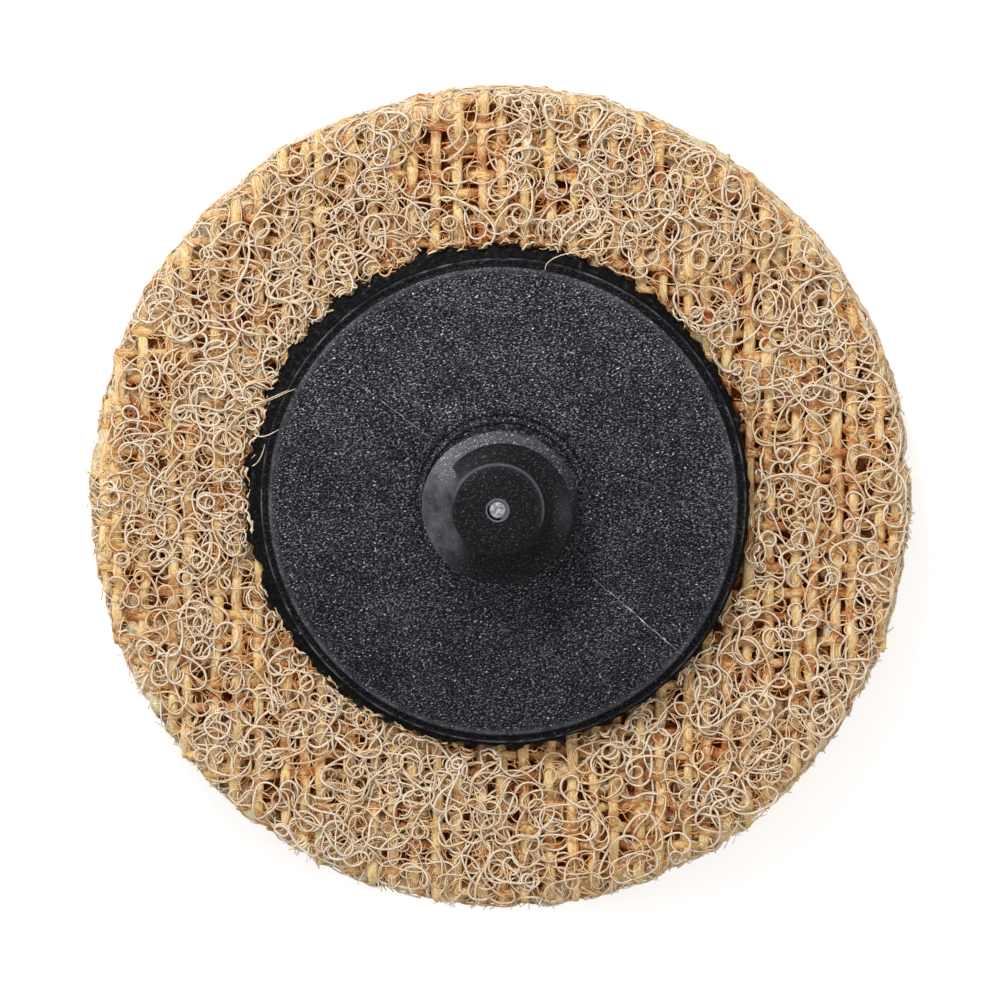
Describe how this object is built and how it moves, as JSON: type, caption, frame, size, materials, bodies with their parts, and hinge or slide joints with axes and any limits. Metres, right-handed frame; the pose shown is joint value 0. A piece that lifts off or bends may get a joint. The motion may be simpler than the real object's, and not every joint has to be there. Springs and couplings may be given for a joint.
{
  "type": "surface conditioning disc",
  "caption": "Small round surface conditioning disc: a tan nonwoven abrasive web on woven backing, with a black button and its coarse threaded stud.",
  "frame": {"origin": "centre of the working face, on the surface that the disc lies on", "axes": "+Z along the disc's spin axis, from the working face towards the stud's tip; +Y along the backing's warp yarns"},
  "size_m": [0.0506, 0.0506, 0.0137],
  "materials": {
    "web_fibre": "lofty nonwoven fibre, resin-bonded, matte",
    "scrim_yarn": "woven yarn, resin-stained, matte",
    "adhesive": "set black adhesive, satin",
    "button_plastic": "frosted moulded plastic"
  },
  "bodies": {
    "root": {"abrasive_web": "web_fibre", "woven_scrim": "scrim_yarn", "adhesive_film": "adhesive", "threaded_button": "button_plastic"}
  },
  "joints": []
}
